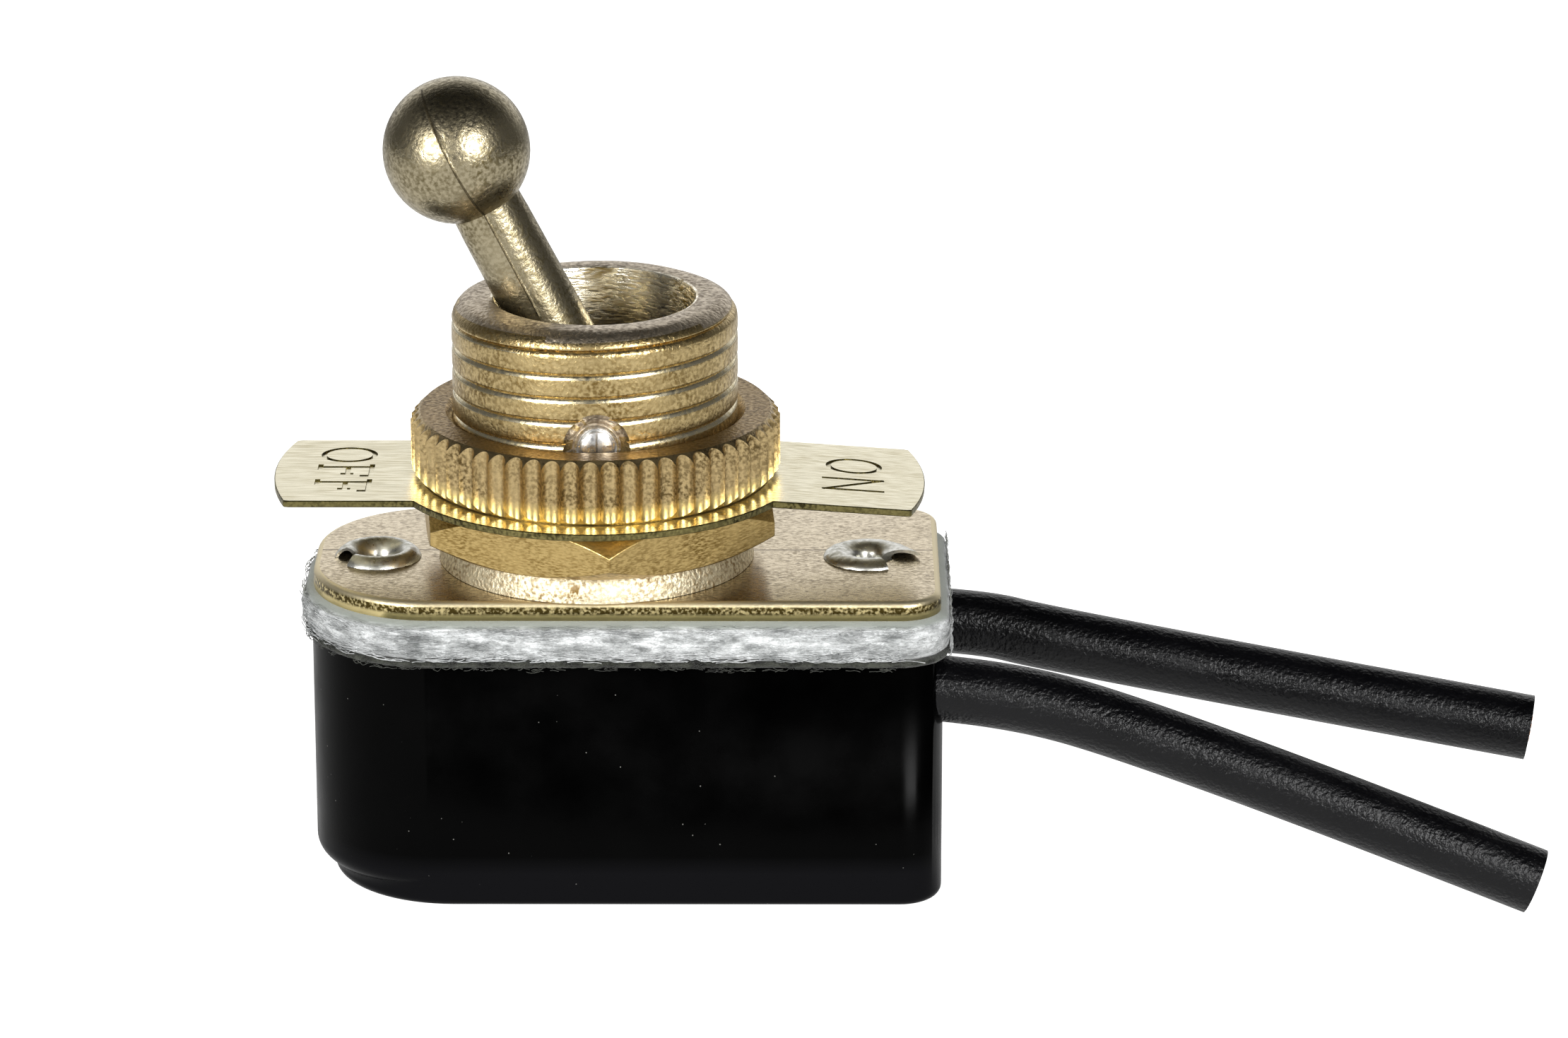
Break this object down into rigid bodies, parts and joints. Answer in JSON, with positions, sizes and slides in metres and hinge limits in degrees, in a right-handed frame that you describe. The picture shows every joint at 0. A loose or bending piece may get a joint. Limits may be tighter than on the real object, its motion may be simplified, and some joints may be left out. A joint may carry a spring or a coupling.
{
  "type": "toggle light switch",
  "caption": "Toggle light switch: ball lever in a threaded brass bushing with hex nut, toothed ring nut and ON/OFF tag plate, on a black moulded housing with flying leads.",
  "frame": {"origin": "on the bushing's axis, at the underside of the housing", "axes": "+Z along the bushing towards the lever's ball, +X towards the leads, the lever swings in the XZ plane"},
  "size_m": [0.0538, 0.0172, 0.0343],
  "materials": {
    "black_phenolic": "moulded, satin",
    "fibre": "pressed fibre, ragged edge",
    "felt": "white felt",
    "plate_brass": "rolled brass sheet, satin",
    "bushing_brass": "turned brass, satin",
    "ring_brass": "toothed brass, satin",
    "tag_brass": "brushed pale brass sheet",
    "lever_plating": "cast, aged brass plating",
    "steel": "plated steel",
    "nylon": "moulded nylon",
    "contact_brass": "stamped brass strip",
    "contact_silver": "silver alloy rivet",
    "nickel": "nickel-plated, curled",
    "lead_cover": "extruded black vinyl",
    "copper": "stranded copper"
  },
  "bodies": {
    "switch_body": {"housing": "black_phenolic", "fibre_sheet": "fibre", "felt_gasket": "felt", "mounting_plate": "plate_brass", "bushing": "bushing_brass", "hex_nut": "bushing_brass", "ring_nut": "ring_brass", "indicator_plate": "tag_brass", "pivot_pin": "steel", "common_terminal": "contact_brass", "fixed_terminal": "contact_brass", "fixed_contact": "contact_silver", "eyelet_left": "nickel", "eyelet_right": "nickel", "lead_front": "lead_cover", "lead_rear": "lead_cover", "conductor_front": "copper", "conductor_rear": "copper"},
    "lever": {"lever": "lever_plating", "plunger_spring": "steel"},
    "plunger": {"plunger": "nylon"},
    "rocker": {"rocker": "contact_brass", "moving_contact": "contact_silver"}
  },
  "joints": [
    {"name": "lever_toggle", "type": "hinge", "parent": "switch_body", "child": "lever", "pos_m": [0, 0, 0.02005], "axis": [0, 1, 0], "range_deg": [0, 53.8]},
    {"name": "plunger_slide", "type": "slide", "parent": "lever", "child": "plunger", "axis": [-0.4524, 0, 0.8918], "range_m": [0, 0.0004], "stiffness_N_per_m": 800, "springref_m": -0.0015, "deforming": ["plunger_spring"]},
    {"name": "rocker_tip", "type": "hinge", "parent": "switch_body", "child": "rocker", "pos_m": [0, 0, 0.00679], "axis": [0, 1, 0], "range_deg": [-12, 0]}
  ],
  "couplings": [
    {"joint": "rocker_tip", "follows": "lever_toggle", "ratio": -0.22304}
  ]
}
